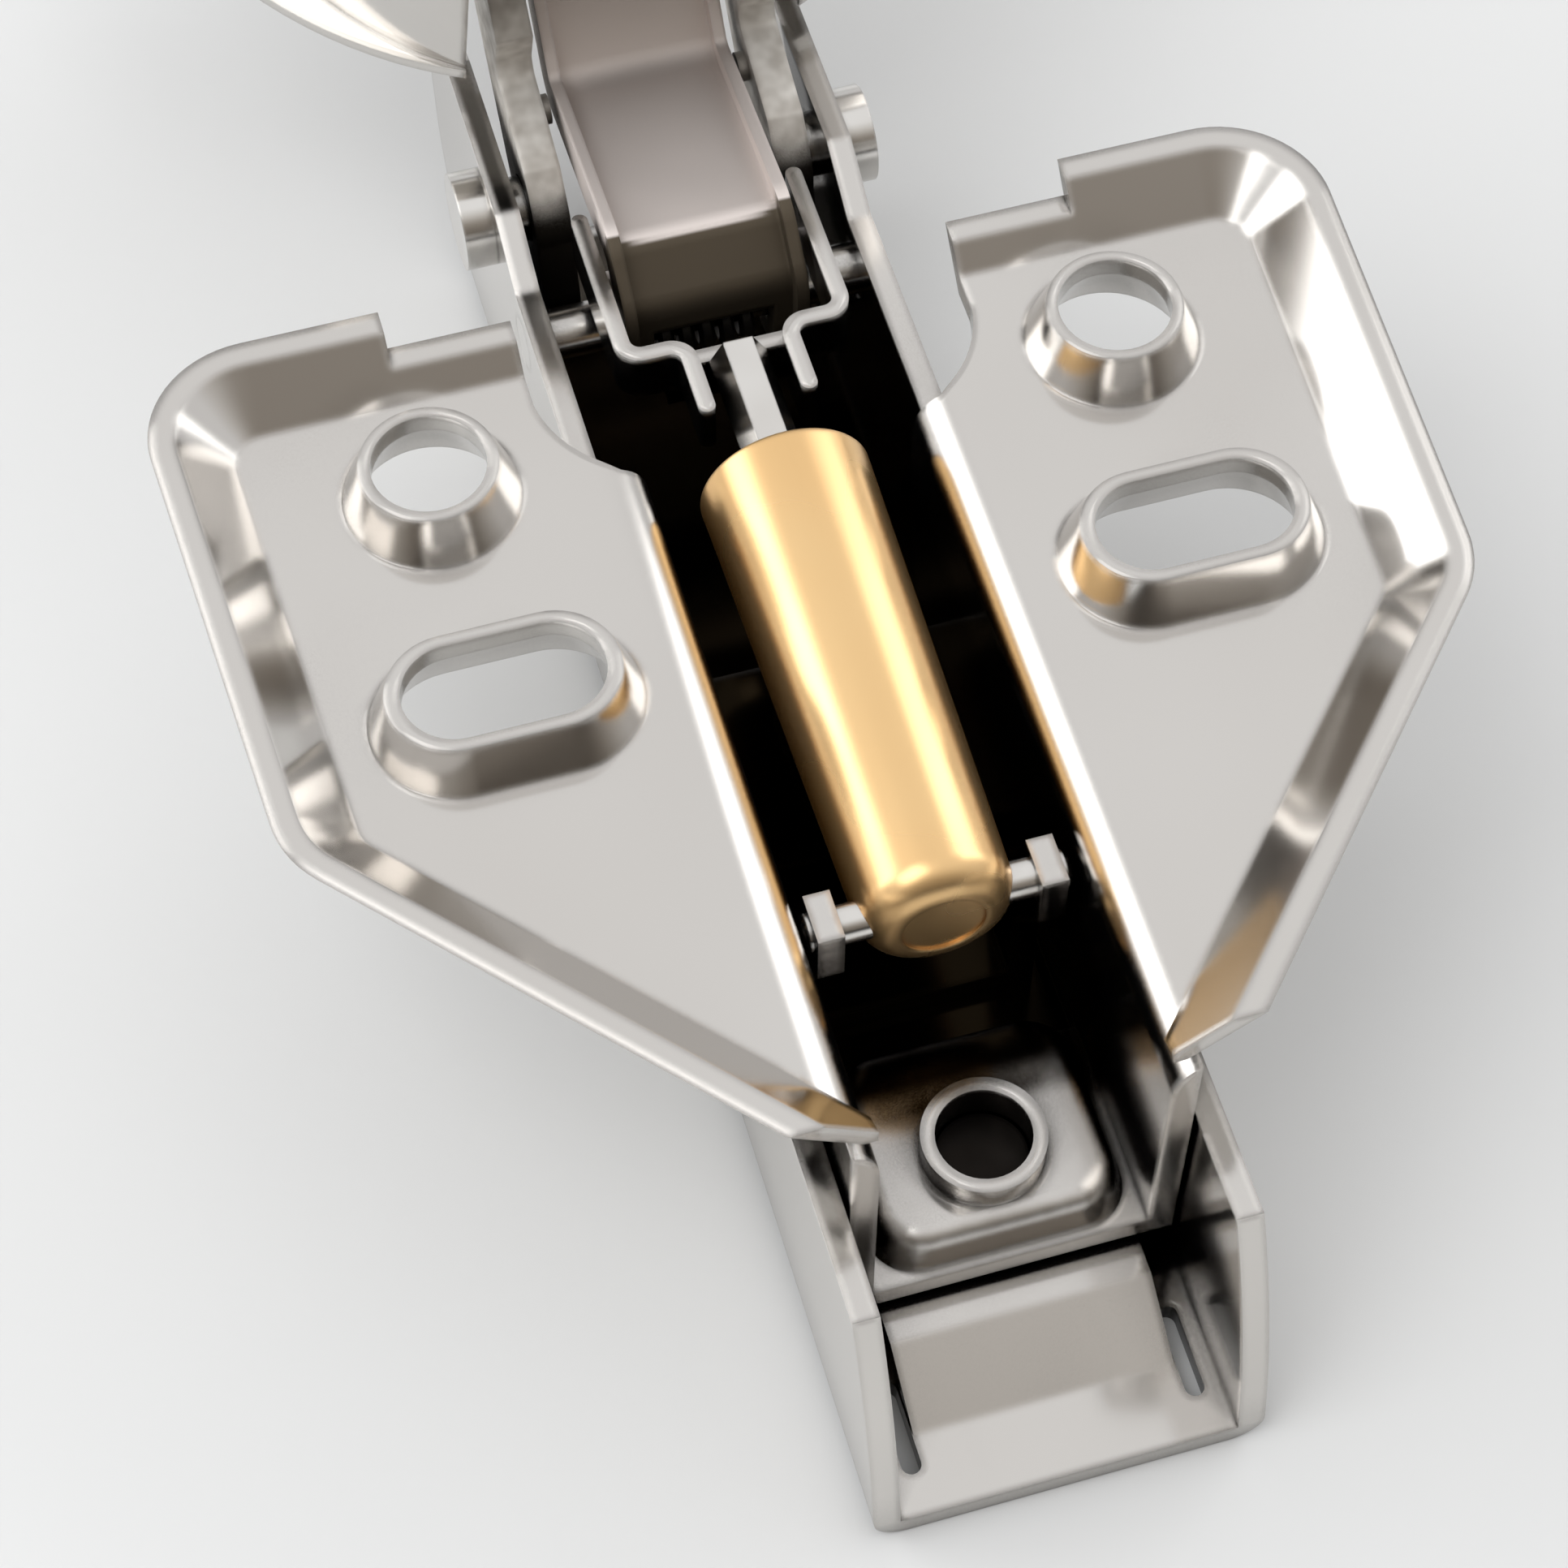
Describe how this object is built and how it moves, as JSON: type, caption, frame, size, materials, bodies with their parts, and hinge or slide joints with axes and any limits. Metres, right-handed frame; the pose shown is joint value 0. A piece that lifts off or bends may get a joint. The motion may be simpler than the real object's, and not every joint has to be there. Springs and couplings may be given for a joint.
{
  "type": "concealed cabinet hinge",
  "caption": "Soft-close concealed cabinet hinge: winged mounting plate, channel arm with damper, crossed links and a round cup on a flange with ears.",
  "frame": {"origin": "midway between the two round screw holes, on the mounting face at the rim's top", "axes": "+X across the hinge, +Y along the arm towards the cup, +Z out of the mounting face towards the cabinet"},
  "size_m": [0.064, 0.1032, 0.0408],
  "materials": {
    "nickel_steel": "bright nickel plating on stamped steel",
    "gold_barrel": "polished, gold coloured",
    "seal_rubber": "matt",
    "damper_plastic": "moulded",
    "spring_steel": "drawn wire"
  },
  "bodies": {
    "plate": {"mounting_plate": "nickel_steel", "clamp_washer": "nickel_steel"},
    "arm": {"hinge_arm": "nickel_steel", "damper_bracket": "nickel_steel", "damper_pin": "nickel_steel", "damper_cylinder": "gold_barrel", "damper_plug": "damper_plastic", "damper_seal": "seal_rubber", "damper_cap": "damper_plastic", "damper_spring": "spring_steel", "inner_rivet": "nickel_steel", "outer_rivets": "nickel_steel", "closing_spring": "spring_steel"},
    "rod": {"damper_rod": "nickel_steel", "damper_piston": "damper_plastic", "push_fork": "nickel_steel"},
    "outer_link": {"outer_link": "nickel_steel"},
    "inner_link": {"inner_link": "nickel_steel"},
    "cup": {"hinge_cup": "nickel_steel", "outer_cup_pin": "nickel_steel", "inner_cup_pin": "nickel_steel"},
    "clamp": {"clamp_screw": "nickel_steel"},
    "side": {"side_screw": "nickel_steel"}
  },
  "joints": [
    {"name": "depth_slide", "type": "slide", "parent": "plate", "child": "arm", "axis": [0, 1, 0], "range_m": [-0.002, 0.002]},
    {"name": "clamp_screw_turn", "type": "hinge", "parent": "plate", "child": "clamp", "pos_m": [0, -0.0322, -0.016], "axis": [0, 0, 1], "continuous": true},
    {"name": "side_screw_turn", "type": "hinge", "parent": "arm", "child": "side", "pos_m": [0, -0.0095, -0.018], "axis": [0, 0, 1], "continuous": true},
    {"name": "link_swing", "type": "hinge", "parent": "arm", "child": "outer_link", "pos_m": [0, 0.02, -0.0084], "axis": [1, 0, 0], "range_deg": [-68.1, 0]},
    {"name": "cup_swing", "type": "hinge", "parent": "outer_link", "child": "cup", "pos_m": [0, 0.0368, 0.01038], "axis": [1, 0, 0], "range_deg": [-41.6, 0]},
    {"name": "inner_swing", "type": "hinge", "parent": "arm", "child": "inner_link", "pos_m": [0, 0.013, -0.0098], "axis": [1, 0, 0], "range_deg": [-40.2, 0]},
    {"name": "rod_slide", "type": "slide", "parent": "arm", "child": "rod", "axis": [0, 1, 0], "range_m": [-0.0021, 0]}
  ],
  "couplings": [
    {"joint": "cup_swing", "follows": "link_swing", "ratio": 0.6094},
    {"joint": "inner_swing", "follows": "link_swing", "ratio": 0.58862},
    {"joint": "rod_slide", "follows": "link_swing", "m_per_rad": 0.001683}
  ]
}
